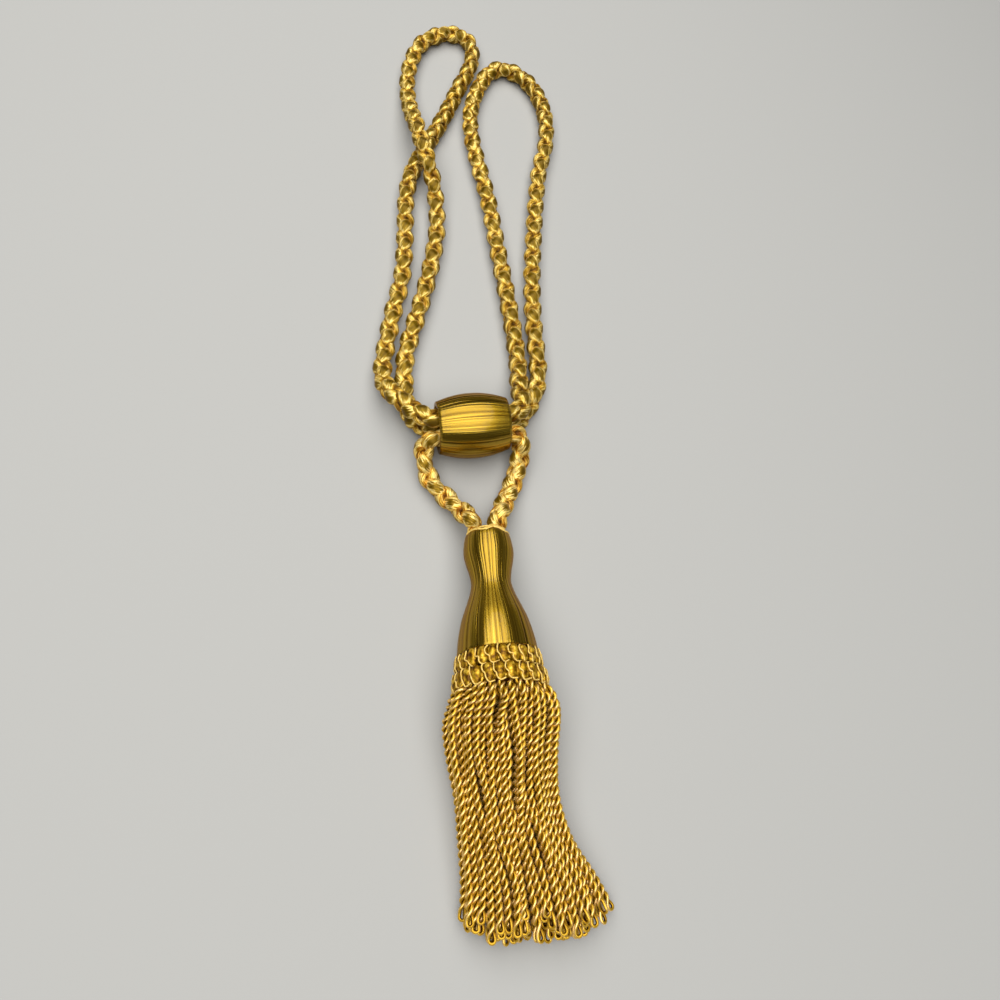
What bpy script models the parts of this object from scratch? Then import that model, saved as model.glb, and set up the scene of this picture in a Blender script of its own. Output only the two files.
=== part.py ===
# Curtain tieback with a tassel: two rope loops drawn through a floss-covered slide,
# and a tassel of twisted bullion fringe hanging from the rope's two lower strands.
# The piece lies flat on a surface at z = 0, its loops towards +Y and its skirt towards -Y.
# Tables are in millimetres and MM turns them into metres.

import math

import bmesh
import bpy
from mathutils import Vector

MM = 0.001
GAP = 0.3                     # clearance between neighbouring pieces

ROPE_RADIUS = 4.4             # mean radius of the braided rope where it lies free
ROPE_RADIUS_IN_BORE = 4.15    # the rope is squeezed where it passes through the slide
BRAID_PITCH = 10.4            # length of one repeat of the braid
BRAID_STEPS = 3               # rings of points to a repeat
BRAID_RELIEF = 0.22           # how far a lobe stands out, and a hollow goes in
ROPE_SIDES = 8
SQUEEZE_LENGTH = 6.0          # the rope regains its full radius this far outside the slide

SLIDE_CENTRE = (-15.9, 92.4, 14.2)
SLIDE_TURN = math.radians(6.3)  # the slide's axis is turned this far from +X towards +Y
SLIDE_LENGTH = 31.2
SLIDE_RADIUS = 14.5
SLIDE_END_RADIUS = 11.6
SLIDE_BORE = 9.75
BORE_STRAND_OFFSET = 5.1      # three strands share the bore at this distance from its axis

HEAD_TOP = (-11.0, 41.6, 13.4)
HEAD_BASE = (-9.1, -10.4, 18.1)
HEAD_LENGTH = 52.2
COLLAR_ROW_LENGTH = 6.5
COLLAR_LOBES = 26
COLLAR_LOBE_HEIGHT = 0.8
COLLAR_SWELL = 0.4            # a row is this much fuller in its middle, lobes aside
COLLAR_UPPER_RADIUS = 17.8    # over the tops of the lobes
COLLAR_LOWER_RADIUS = 18.8
COLLAR_CLEARANCE = 0.4        # between the band and the collars round it
BAND_RADIUS = 14.3            # the gathered roots of the skirt, under the two collars
ROUND_SIDES = 40

STRAND_PITCH = 2.85           # distance between strands where the band gathers them
END_UNEVENNESS = 1.1          # the folded ends differ in length by this, either way
DISC_LIMIT = 1.02             # strands stand no further from the middle of their disc
END_RHYTHM = 2.4              # turn in radians from one strand's unevenness to the next
EDGE_COLUMN = 0.2             # least share of the disc's height that the outermost strands keep
DOME_FALL = 0.6               # how steeply the dome falls off to its sides
FLOOR_CLEARANCE = 0.05        # play under the lowest strands
STRAND_SIDES = 4

# Turned form of the tassel's head: distance from its top, radius.
HEAD_PROFILE = [
    (0.0, 6.2), (0.8, 7.7), (2.4, 9.0), (5.5, 10.0), (9.6, 10.4), (13.4, 9.8), (17.4, 8.8),
    (22.4, 8.2), (26.5, 9.0), (30.2, 10.3), (34.0, 11.8), (37.8, 13.2), (45.2, 15.0), (52.2, 16.0),
]

# Section of a collar's lobes: share of the row's length, share of the lobes' full height.
COLLAR_PROFILE = [(0.0, 0.35), (0.25, 0.85), (0.6, 1.0), (1.0, 0.45)]

# Outer form of the slide: share of its length from one end, share of the way from the end
# radius to the full radius.
SLIDE_PROFILE = [(0.0, 0.0), (0.04, 0.14), (0.12, 0.42), (0.24, 0.74), (0.38, 0.95), (0.5, 1.0)]

# Cross-sections of the skirt along its length. The strands fill a disc where they leave the
# band and a flat-bottomed dome further on.
# y, centre x, half width, middle height, half height, dome height, share of dome, strand radius
SKIRT_SECTIONS = [
    (-22.0, -8.7, 13.0, 19.2, 13.0, 26.0, 0.00, 0.80),
    (-24.6, -8.5, 13.2, 19.4, 13.2, 27.0, 0.00, 0.80),
    (-26.2, -8.2, 16.0, 19.3, 14.9, 30.0, 0.05, 0.80),
    (-28.4, -7.8, 19.8, 19.1, 16.8, 31.0, 0.25, 1.00),
    (-34.5, -7.9, 22.8, 18.0, 16.4, 29.0, 0.65, 1.10),
    (-46.5, -7.6, 21.7, 14.0, 12.8, 25.0, 0.92, 1.10),
    (-61.0, -6.4, 20.2, 11.5, 10.4, 21.5, 1.00, 1.08),
    (-76.0, -3.8, 21.5, 10.5, 9.4, 19.2, 1.00, 1.08),
    (-90.0, 0.2, 24.8, 9.5, 8.5, 17.0, 1.00, 1.08),
    (-103.0, 2.7, 28.2, 8.5, 7.5, 15.0, 1.00, 1.08),
]

# Line on which the skirt's folded ends lie: place across from -1 to 1, y.
SKIRT_ENDS = [
    (-1.0, -98.6), (-0.9, -103.0), (-0.72, -107.0), (0.0, -107.4), (0.4, -107.6), (0.7, -105.0),
    (1.0, -102.4),
]

# Route of each rope strand outside the slide: x, y, z of its centre line.
LOOP_LEFT_ROUTE = [
    (-36.0, 93.8, 18.1), (-40.0, 96.2, 17.0), (-43.3, 99.4, 15.8), (-46.9, 103.0, 15.0),
    (-50.6, 107.4, 13.4), (-53.8, 112.8, 10.6), (-55.5, 119.4, 7.4), (-55.9, 127.0, 5.3),
    (-55.2, 134.0, 4.4), (-53.8, 144.0, 4.4), (-51.4, 159.0, 4.4), (-47.4, 180.5, 4.4),
    (-46.2, 206.5, 4.4), (-45.8, 232.0, 4.4), (-43.6, 246.8, 4.4), (-37.0, 265.6, 4.4),
    (-29.8, 282.0, 4.4), (-22.8, 299.5, 4.4), (-16.4, 317.5, 4.4), (-10.8, 332.0, 4.4),
    (-8.4, 343.0, 4.4), (-8.8, 352.5, 4.4), (-13.4, 359.2, 4.4), (-22.5, 361.2, 4.4),
    (-31.0, 357.2, 4.4), (-38.4, 349.4, 4.4), (-43.4, 336.0, 4.4), (-45.8, 321.0, 4.4),
    (-45.6, 305.0, 5.2), (-43.8, 289.0, 9.0), (-41.2, 274.5, 13.8), (-38.4, 261.0, 15.0),
    (-35.2, 250.0, 13.4), (-32.0, 240.0, 8.4), (-30.4, 230.0, 5.0), (-29.9, 213.0, 4.4),
    (-32.2, 193.5, 4.4), (-36.8, 170.0, 4.4), (-42.0, 149.0, 4.4), (-45.0, 136.0, 4.4),
    (-46.0, 124.0, 4.4), (-45.6, 114.5, 4.4), (-44.6, 107.0, 4.4), (-42.4, 101.4, 4.4),
    (-39.8, 97.0, 6.2), (-36.4, 94.4, 8.4),
]
LOOP_RIGHT_ROUTE = [
    (3.8, 97.8, 18.2), (6.0, 101.0, 17.2), (6.8, 105.4, 15.3), (6.9, 110.8, 12.8),
    (7.0, 116.4, 10.0), (7.6, 122.6, 7.2), (8.0, 129.6, 5.4), (7.8, 138.0, 4.4),
    (7.2, 147.0, 4.4), (4.2, 175.5, 4.4), (1.2, 200.0, 4.4), (-3.0, 235.8, 4.4),
    (-7.8, 262.0, 4.4), (-10.4, 280.5, 4.4), (-10.6, 296.0, 4.4), (-8.0, 309.6, 4.4),
    (-4.2, 320.8, 4.4), (1.2, 330.8, 4.4), (8.4, 335.4, 4.4), (18.0, 332.0, 4.4),
    (25.6, 323.4, 4.4), (30.8, 309.5, 4.4), (32.5, 294.5, 4.4), (31.0, 277.0, 4.4),
    (26.4, 258.5, 4.4), (23.4, 238.0, 4.4), (20.8, 214.0, 4.4), (18.2, 186.0, 4.4),
    (17.2, 161.0, 4.4), (17.6, 141.0, 4.4), (17.8, 130.0, 4.4), (16.8, 121.0, 4.4),
    (14.6, 113.6, 4.4), (11.2, 107.2, 4.4), (7.8, 101.4, 5.8), (4.2, 97.9, 8.2),
]
LINK_LEFT_ROUTE = [
    (-34.8, 85.0, 13.4), (-36.8, 83.0, 10.8), (-36.9, 79.6, 8.0), (-36.2, 75.6, 5.8),
    (-34.7, 71.2, 4.4), (-31.9, 66.6, 4.4), (-27.8, 62.0, 5.0), (-24.0, 57.2, 6.6),
    (-20.6, 52.8, 9.4), (-17.8, 49.4, 11.8),
]
LINK_RIGHT_ROUTE = [
    (4.1, 88.7, 13.4), (6.1, 86.8, 10.8), (6.3, 83.2, 8.0), (5.8, 79.0, 5.7),
    (4.5, 74.2, 4.4), (3.0, 69.8, 4.4), (0.8, 64.4, 5.0), (-1.6, 59.0, 6.6),
    (-3.8, 54.0, 9.2), (-5.3, 50.0, 11.6),
]

# Angle about the slide's axis at which a strand runs through the bore, from +Y towards +Z.
LINK_ANGLE = math.radians(180.0)
UPPER_ANGLE = math.radians(60.0)
LOWER_ANGLE = math.radians(300.0)

ROUTE_SAMPLES = 24            # points read from the curve between two points of a route
ROUTE_LEAD = 5.0              # straight stretch of a strand at the mouth of the bore
MOUTH_LEAD = 0.6              # the part of that stretch outside the slide
LINK_LIFT = 0.8               # the links meet the head this far above its axis
SEAT_LENGTH = 4.4             # straight stretch of a strand above the head's flat top


def clear_scene():
    for item in list(bpy.data.objects):
        bpy.data.objects.remove(item, do_unlink=True)


def make_material(name, colour, roughness):
    material = bpy.data.materials.new(name)
    material.use_nodes = True
    shader = material.node_tree.nodes["Principled BSDF"]
    shader.inputs["Base Color"].default_value = (*colour, 1.0)
    shader.inputs["Roughness"].default_value = roughness
    shader.inputs["Metallic"].default_value = 0.0
    return material


def add_object(name, data, material):
    item = bpy.data.objects.new(name, data)
    bpy.context.scene.collection.objects.link(item)
    item.data.materials.clear()
    item.data.materials.append(material)
    return item


def mesh_from_rings(name, rings, loops_back=False):
    # Skins closed rings of points, one after another, into one body. The last ring joins the
    # first where the section loops back, and flat caps close it otherwise.
    form = bmesh.new()
    levels = [[form.verts.new(Vector(point) * MM) for point in ring] for ring in rings]
    count = len(levels)
    steps = range(count if loops_back else count - 1)
    for step in steps:
        low, high = levels[step], levels[(step + 1) % count]
        for side in range(len(low)):
            after = (side + 1) % len(low)
            form.faces.new((low[side], low[after], high[after], high[side]))
    if not loops_back:
        form.faces.new(levels[0])
        form.faces.new(levels[-1])
    bmesh.ops.recalc_face_normals(form, faces=form.faces)
    mesh = bpy.data.meshes.new(name)
    form.to_mesh(mesh)
    form.free()
    return mesh


def smooth_route(points, step):
    # Reads evenly spaced points from a centripetal Catmull-Rom curve through the route.
    route = [Vector(point) for point in points]
    ends = [route[0] * 2 - route[1]] + route + [route[-1] * 2 - route[-2]]
    fine = [route[0]]
    for place in range(1, len(ends) - 2):
        before, start, stop, after = ends[place - 1:place + 3]
        knots = [0.0]
        for near, far in ((before, start), (start, stop), (stop, after)):
            knots.append(knots[-1] + math.sqrt((far - near).length))
        for share in range(1, ROUTE_SAMPLES + 1):
            here = knots[1] + (knots[2] - knots[1]) * share / ROUTE_SAMPLES
            fine.append(catmull_point((before, start, stop, after), knots, here))
    return evenly_spaced(fine, step)


def catmull_point(points, knots, here):
    # Blends neighbouring points three times over, each time across a wider span of knots.
    level = list(points)
    for width, first in ((1, 0), (2, 0), (1, 1)):
        merged = []
        for place in range(len(level) - 1):
            low, high = knots[first + place], knots[first + place + width]
            share = (here - low) / (high - low)
            merged.append(level[place].lerp(level[place + 1], share))
        level = merged
    return level[0]


def evenly_spaced(fine, step):
    reach = [0.0]
    for near, far in zip(fine, fine[1:]):
        reach.append(reach[-1] + (far - near).length)
    count = max(2, round(reach[-1] / step))
    points = []
    place = 0
    for number in range(count + 1):
        wanted = reach[-1] * number / count
        while place < len(fine) - 2 and reach[place + 1] < wanted:
            place += 1
        span = reach[place + 1] - reach[place]
        share = (wanted - reach[place]) / span
        points.append(fine[place].lerp(fine[place + 1], share))
    return points


def slide_frame():
    along = Vector((math.cos(SLIDE_TURN), math.sin(SLIDE_TURN), 0.0))
    across = Vector((-math.sin(SLIDE_TURN), math.cos(SLIDE_TURN), 0.0))
    return Vector(SLIDE_CENTRE), along, across


def bore_point(angle, distance):
    # A point on a strand's centre line inside the slide, this far along its axis from its middle.
    centre, along, across = slide_frame()
    offset = across * math.cos(angle) + Vector((0.0, 0.0, 1.0)) * math.sin(angle)
    return centre + along * distance + offset * BORE_STRAND_OFFSET


def bore_stretch(angle, side):
    # From the hidden middle of the bore out to its mouth, on the -1 or +1 side.
    mouth = SLIDE_LENGTH / 2 + MOUTH_LEAD
    return [bore_point(angle, side * reach) for reach in (GAP / 2, mouth - ROUTE_LEAD, mouth)]


def rope_mesh(name, points):
    # A round tube along the points, then the braid's lobes raised in its points.
    curve = bpy.data.curves.new(name, "CURVE")
    curve.dimensions = "3D"
    curve.bevel_depth = ROPE_RADIUS * MM
    curve.bevel_resolution = 2
    curve.use_fill_caps = True
    spline = curve.splines.new("POLY")
    spline.points.add(len(points) - 1)
    for place, point in zip(spline.points, points):
        place.co = (*(point * MM), 1.0)
        place.radius = rope_share(point)
    holder = bpy.data.objects.new(name + " curve", curve)
    bpy.context.scene.collection.objects.link(holder)
    graph = bpy.context.evaluated_depsgraph_get()
    mesh = bpy.data.meshes.new_from_object(holder.evaluated_get(graph))
    bpy.data.objects.remove(holder, do_unlink=True)
    raise_braid(mesh, points)
    return mesh


def rope_share(point):
    # 1 for free rope, less where the slide squeezes it.
    centre, along, _ = slide_frame()
    reach = abs((point - centre).dot(along)) - SLIDE_LENGTH / 2
    free = min(1.0, max(0.0, reach / SQUEEZE_LENGTH)) if near_slide(point) else 1.0
    squeezed = ROPE_RADIUS_IN_BORE / ROPE_RADIUS
    return squeezed + (1.0 - squeezed) * free


def near_slide(point):
    centre, _, across = slide_frame()
    return abs((point - centre).dot(across)) < SLIDE_BORE


def raise_braid(mesh, points):
    # Lobes and hollows take turns round the rope and along it. Where the rope lies on the
    # surface its underside is pressed flat.
    for ring in range(1, len(points) - 1):
        if near_slide(points[ring]) and rope_share(points[ring]) < 1.0:
            continue
        centre = points[ring] * MM
        for side in range(ROPE_SIDES):
            vertex = mesh.vertices[ring * ROPE_SIDES + side]
            out = (vertex.co - centre).normalized()
            lobe = math.cos(2 * math.pi * ring / BRAID_STEPS + math.pi * side)
            vertex.co = vertex.co + out * (BRAID_RELIEF * MM * lobe)
            vertex.co.z = max(vertex.co.z, 0.0)


def make_rope(name, route, material):
    item = add_object(name, rope_mesh(name, smooth_route(route, BRAID_PITCH / BRAID_STEPS)), material)
    item.data.shade_smooth()
    return item


def make_loop(name, side, route, material):
    # Out of the upper place in the bore, round the loop and back into the lower place.
    start = bore_stretch(UPPER_ANGLE, side)
    finish = bore_stretch(LOWER_ANGLE, side)[::-1]
    return make_rope(name, start + route + finish, material)


def make_link(name, side, route, material):
    # Out of the bore and down to the flat top of the tassel's head.
    top, down, sideways = Vector(HEAD_TOP), tassel_direction(), tassel_side()
    upward = sideways.cross(down)
    foot = top + sideways * (side * (ROPE_RADIUS + BRAID_RELIEF + GAP / 2)) + upward * LINK_LIFT
    seat = [foot - down * (GAP + rise) for rise in (SEAT_LENGTH, SEAT_LENGTH / 2, 0.0)]
    return make_rope(name, bore_stretch(LINK_ANGLE, side) + route + seat, material)


def tassel_direction():
    return (Vector(HEAD_BASE) - Vector(HEAD_TOP)).normalized()


def tassel_side():
    return Vector((0.0, 0.0, 1.0)).cross(tassel_direction()).normalized()


def round_ring(centre, sideways, upward, radii, first_turn=0.0):
    points = []
    for place, radius in enumerate(radii):
        turn = first_turn + 2 * math.pi * place / len(radii)
        out = sideways * math.cos(turn) + upward * math.sin(turn)
        points.append(centre + out * radius)
    return points


def tassel_ring(distance, radii):
    down, sideways = tassel_direction(), tassel_side()
    upward = sideways.cross(down).normalized()
    return round_ring(Vector(HEAD_TOP) + down * distance, sideways, upward, radii)


def make_head(material):
    rings = [tassel_ring(distance, [radius] * ROUND_SIDES) for distance, radius in HEAD_PROFILE]
    item = add_object("tassel_head", mesh_from_rings("tassel_head", rings), material)
    item.data.shade_smooth()
    item.data.set_sharp_from_angle(angle=math.radians(40))
    return item


def make_collar(name, start, radius, stagger, material):
    # A row of looped braid: round lobes side by side, fullest in the middle of the row.
    sides = COLLAR_LOBES * 2
    inner = [BAND_RADIUS + COLLAR_CLEARANCE] * sides
    rings = [tassel_ring(start, inner)]
    base = radius - COLLAR_SWELL - COLLAR_LOBE_HEIGHT
    for share, fullness in COLLAR_PROFILE:
        radii = []
        for side in range(sides):
            lobe = COLLAR_LOBE_HEIGHT * ((side + stagger) % 2)
            radii.append(base + (COLLAR_SWELL + lobe) * fullness)
        rings.append(tassel_ring(start + COLLAR_ROW_LENGTH * share, radii))
    rings.append(tassel_ring(start + COLLAR_ROW_LENGTH, inner))
    item = add_object(name, mesh_from_rings(name, rings, loops_back=True), material)
    item.data.shade_smooth()
    item.data.set_sharp_from_angle(angle=math.radians(50))
    return item


def slide_ring(distance, radius):
    centre, along, across = slide_frame()
    upward = Vector((0.0, 0.0, 1.0))
    return round_ring(centre + along * distance, across, upward, [radius] * ROUND_SIDES)


def make_slide(material):
    half = SLIDE_LENGTH / 2
    swell = SLIDE_RADIUS - SLIDE_END_RADIUS
    outline = []
    for share, rise in SLIDE_PROFILE:
        outline.append(((share * 2 - 1) * half, SLIDE_END_RADIUS + swell * rise))
    outline += [(-reach, radius) for reach, radius in outline[-2::-1]]
    rings = [slide_ring(-half, SLIDE_BORE)]
    rings += [slide_ring(reach, radius) for reach, radius in outline]
    rings.append(slide_ring(half, SLIDE_BORE))
    mesh = mesh_from_rings("slide_barrel", rings, loops_back=True)
    item = add_object("slide_barrel", mesh, material)
    level_underside(item)
    item.data.shade_smooth()
    item.data.set_sharp_from_angle(angle=math.radians(40))
    return item


def level_underside(item):
    # The covered wood has a small flat on which it rests: all below z = 0 is taken away.
    form = bmesh.new()
    form.from_mesh(item.data)
    everything = form.verts[:] + form.edges[:] + form.faces[:]
    cut = bmesh.ops.bisect_plane(
        form, geom=everything, plane_co=(0, 0, 0), plane_no=(0, 0, -1), clear_outer=True
    )
    rim = [part for part in cut["geom_cut"] if isinstance(part, bmesh.types.BMEdge)]
    bmesh.ops.holes_fill(form, edges=rim)
    bmesh.ops.recalc_face_normals(form, faces=form.faces)
    form.to_mesh(item.data)
    form.free()


def strand_places():
    # Even places in a disc of radius 1, in staggered rows.
    step = STRAND_PITCH / SKIRT_SECTIONS[0][2]
    rows = int(1.0 / (step * math.sqrt(0.75)))
    places = []
    for row in range(-rows, rows + 1):
        height = row * step * math.sqrt(0.75)
        shift = step / 2 if row % 2 else 0.0
        reach = int(1.0 / step) + 1
        for column in range(-reach, reach + 1):
            across = column * step + shift
            if math.hypot(across, height) <= DISC_LIMIT:
                places.append((across, height))
    return places


def strand_point(place, section):
    across, height = place
    y, centre_x, half_width, middle, half_height, dome, dome_share, radius = section
    column = math.sqrt(max(EDGE_COLUMN ** 2, 1.0 - across * across))
    share = min(1.0, max(0.0, (height / column + 1.0) / 2.0))
    rest = radius * math.sqrt(0.5) + FLOOR_CLEARANCE
    in_disc = middle + half_height * height
    in_dome = rest + share * (dome - rest) * column ** DOME_FALL
    z = in_disc * (1.0 - dome_share) + in_dome * dome_share
    down = tassel_direction()
    lean = (middle - z) * down.z / down.y * (1.0 - dome_share)
    return Vector((centre_x + half_width * across, y + lean, z))


def strand_rings(place, number):
    points = [strand_point(place, section) for section in SKIRT_SECTIONS]
    points[-1].y = strand_end(place[0], number)
    rings = []
    for index, point in enumerate(points):
        near = points[max(0, index - 1)]
        far = points[min(len(points) - 1, index + 1)]
        along = (far - near).normalized()
        sideways = along.cross(Vector((0.0, 0.0, 1.0))).normalized()
        upward = sideways.cross(along)
        radius = SKIRT_SECTIONS[index][-1]
        rings.append(round_ring(point, sideways, upward, [radius] * STRAND_SIDES, math.radians(45)))
    return rings


def strand_end(across, number):
    # The folded ends follow their line, at slightly uneven lengths.
    for (left, left_y), (right, right_y) in zip(SKIRT_ENDS, SKIRT_ENDS[1:]):
        if across <= right:
            break
    share = (across - left) / (right - left)
    return left_y + (right_y - left_y) * share + END_UNEVENNESS * math.sin(number * END_RHYTHM)


def make_skirt(material):
    form = bmesh.new()
    for number, place in enumerate(strand_places()):
        mesh = mesh_from_rings("strand", strand_rings(place, number))
        form.from_mesh(mesh)
        bpy.data.meshes.remove(mesh)
    strands_mesh = bpy.data.meshes.new("strands")
    form.to_mesh(strands_mesh)
    form.free()
    strands = add_object("strands", strands_mesh, material)
    strands.hide_render = True
    strands.display_type = "WIRE"

    start = HEAD_LENGTH + GAP
    finish = start + 2 * COLLAR_ROW_LENGTH + GAP
    rings = [tassel_ring(distance, [BAND_RADIUS] * ROUND_SIDES) for distance in (start, finish)]
    skirt = add_object("skirt", mesh_from_rings("skirt", rings), material)
    fuse = skirt.modifiers.new("roots fused to the band", "BOOLEAN")
    fuse.operation = "UNION"
    fuse.solver = "EXACT"
    fuse.object = strands
    return skirt


def build():
    clear_scene()
    floss = make_material("satin_floss", (0.50, 0.33, 0.05), 0.38)
    rope = make_material("braided_rope", (0.60, 0.40, 0.08), 0.42)
    gimp = make_material("collar_braid", (0.55, 0.35, 0.06), 0.45)
    bullion = make_material("bullion_fringe", (0.62, 0.42, 0.11), 0.5)

    make_slide(floss)
    make_head(floss)
    start = HEAD_LENGTH + GAP
    make_collar("collar_upper", start, COLLAR_UPPER_RADIUS, 0, gimp)
    make_collar("collar_lower", start + COLLAR_ROW_LENGTH + GAP, COLLAR_LOWER_RADIUS, 1, gimp)
    make_skirt(bullion)
    make_loop("rope_loop_left", -1, [Vector(point) for point in LOOP_LEFT_ROUTE], rope)
    make_loop("rope_loop_right", 1, [Vector(point) for point in LOOP_RIGHT_ROUTE], rope)
    make_link("rope_link_left", -1, [Vector(point) for point in LINK_LEFT_ROUTE], rope)
    make_link("rope_link_right", 1, [Vector(point) for point in LINK_RIGHT_ROUTE], rope)


build()
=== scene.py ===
import math
import random

import bpy
from mathutils import Matrix, Vector


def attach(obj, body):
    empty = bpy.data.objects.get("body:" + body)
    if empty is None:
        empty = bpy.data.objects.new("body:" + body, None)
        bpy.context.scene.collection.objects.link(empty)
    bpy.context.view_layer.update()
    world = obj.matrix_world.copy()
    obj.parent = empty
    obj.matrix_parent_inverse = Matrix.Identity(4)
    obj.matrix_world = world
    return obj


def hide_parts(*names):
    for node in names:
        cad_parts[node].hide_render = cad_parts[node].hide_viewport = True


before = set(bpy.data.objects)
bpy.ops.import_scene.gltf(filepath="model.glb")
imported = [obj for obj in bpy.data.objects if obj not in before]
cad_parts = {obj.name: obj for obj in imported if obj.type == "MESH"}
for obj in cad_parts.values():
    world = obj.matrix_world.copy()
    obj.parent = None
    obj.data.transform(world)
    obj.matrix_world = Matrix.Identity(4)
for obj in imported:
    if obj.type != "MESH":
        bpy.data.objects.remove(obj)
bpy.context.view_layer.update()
mm = 0.001
touching = 0.02 * mm        # points nearer than this are one
fineSteps = 24              # between two points of a route, before it is evened out


# small helpers

def dropSelection():
    if bpy.context.object and bpy.context.object.mode != "OBJECT":
        bpy.ops.object.mode_set(mode="OBJECT")
    bpy.ops.object.select_all(action="DESELECT")


def pick(*items):
    dropSelection()
    for item in items:
        item.select_set(True)
    bpy.context.view_layer.objects.active = items[0]


def applyModifiers(item):
    pick(item)
    for modifier in list(item.modifiers):
        bpy.ops.object.modifier_apply(modifier=modifier.name)


def placeInMesh(item, place):
    item.matrix_world = place
    pick(item)
    bpy.ops.object.transform_apply(location=True, rotation=True, scale=True)


def joinAs(name, items):
    pick(*items)
    bpy.ops.object.join()
    joined = bpy.context.object
    joined.name = name
    joined.data.name = name
    return joined


def outwardFaces(item):
    pick(item)
    bpy.ops.object.mode_set(mode="EDIT")
    bpy.ops.mesh.select_all(action="SELECT")
    bpy.ops.mesh.normals_make_consistent(inside=False)
    bpy.ops.object.mode_set(mode="OBJECT")


def chooseSpots(item, wanted):
    # in edit mode, only the vertices that the test wants are chosen
    pick(item)
    bpy.ops.object.mode_set(mode="EDIT")
    bpy.ops.mesh.select_mode(type="VERT")
    bpy.ops.mesh.select_all(action="DESELECT")
    bpy.ops.object.mode_set(mode="OBJECT")
    for vertex in item.data.vertices:
        vertex.select = wanted(vertex.co)
    bpy.ops.object.mode_set(mode="EDIT")


def addLine(name, points):
    # a curve of straight steps through points in millimetres
    curve = bpy.data.curves.new(name, "CURVE")
    curve.dimensions = "3D"
    spline = curve.splines.new("POLY")
    spline.points.add(len(points) - 1)
    for spot, point in zip(spline.points, points):
        spot.co = (*(point * mm), 1.0)
    item = bpy.data.objects.new(name, curve)
    bpy.context.scene.collection.objects.link(item)
    return item


def finishPiece(item, material, slotName, *nodes):
    # without a material, the piece keeps those of its parts
    if material:
        item.data.materials.clear()
        item.data.materials.append(material)
    item.data.shade_smooth()
    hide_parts(*nodes)
    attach(item, "root")


def hexColor(text):
    # sRGB hex to the linear colour that the shader works in
    parts = [int(text[at:at + 2], 16) / 255 for at in (1, 3, 5)]
    linear = [part / 12.92 if part <= 0.04045 else ((part + 0.055) / 1.055) ** 2.4
              for part in parts]
    return (*linear, 1.0)


def addNode(tree, kind, settings=None, links=None):
    node = tree.nodes.new(kind)
    for key, value in (settings or {}).items():
        if isinstance(key, int) or key in node.inputs.keys():
            node.inputs[key].default_value = value
        else:
            setattr(node, key, value)
    for key, source in (links or {}).items():
        tree.links.new(source, node.inputs[key])
    return node


def addRamp(tree, source, stops):
    ramp = addNode(tree, "ShaderNodeValToRGB", {}, {"Fac": source})
    marks = ramp.color_ramp.elements
    while len(marks) < len(stops):
        marks.new(0.5)
    for mark, (at, color) in zip(marks, stops):
        mark.position = at
        mark.color = hexColor(color)
    return ramp.outputs["Color"]


def newMaterial(name):
    material = bpy.data.materials.new(name)
    material.use_nodes = True
    tree = material.node_tree
    return material, tree, tree.nodes["Principled BSDF"]


def setShader(shader, **values):
    for key, value in values.items():
        shader.inputs[key.replace("_", " ")].default_value = value


# camera and light

cameraView = {
    "place": (-50.7, -68.4, 306.1),
    "right": (0.9896, -0.0405, 0.1380),
    "up": (-0.0170, 0.9199, 0.3919),
    "lens": 27.04,
    "sensor": 36.0,
}


def placeCamera():
    right = Vector(cameraView["right"]).normalized()
    up = Vector(cameraView["up"])
    up = (up - right * up.dot(right)).normalized()
    back = right.cross(up)
    turn = Matrix((right, up, back)).transposed().to_4x4()
    data = bpy.data.cameras.new("camera")
    data.lens = cameraView["lens"]
    data.sensor_width = cameraView["sensor"]
    data.clip_start = 0.01
    camera = bpy.data.objects.new("camera", data)
    bpy.context.scene.collection.objects.link(camera)
    camera.matrix_world = Matrix.Translation(Vector(cameraView["place"]) * mm) @ turn
    bpy.context.scene.camera = camera


# metres, watts
studio = {
    "overheadSize": (1.4, 2.4),
    "overheadPlace": (-0.15, 0.2, 1.0),
    "overheadPower": 36.0,
    "roomColor": "#dfe6f0",
    "roomStrength": 0.05,
    "floorColor": "#9f9e9a",
    "floorSize": 4.0,
    "floorPlace": (0.0, 0.12, -0.0001),
}


def placeLights():
    data = bpy.data.lights.new("overhead", "AREA")
    data.shape = "RECTANGLE"
    data.size, data.size_y = studio["overheadSize"]
    data.energy = studio["overheadPower"]
    lamp = bpy.data.objects.new("overhead", data)
    bpy.context.scene.collection.objects.link(lamp)
    lamp.location = studio["overheadPlace"]
    world = bpy.data.worlds.new("room")
    world.use_nodes = True
    sky = world.node_tree.nodes["Background"]
    sky.inputs["Color"].default_value = hexColor(studio["roomColor"])
    sky.inputs["Strength"].default_value = studio["roomStrength"]
    bpy.context.scene.world = world
    bpy.context.scene.view_settings.view_transform = "Standard"


def layFloor():
    dropSelection()
    bpy.ops.mesh.primitive_plane_add(size=studio["floorSize"], location=studio["floorPlace"])
    floor = bpy.context.object
    floor.name = "floor"
    placeInMesh(floor, floor.matrix_world.copy())
    # painted board, matt: pale and even
    material, tree, shader = newMaterial("mattPaintedBoard")
    setShader(shader, Base_Color=hexColor(studio["floorColor"]), Roughness=0.85, IOR=1.45)
    floor.data.materials.append(material)


placeCamera()
placeLights()
layFloor()
print("camera, light and floor are set")


# routes

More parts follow.
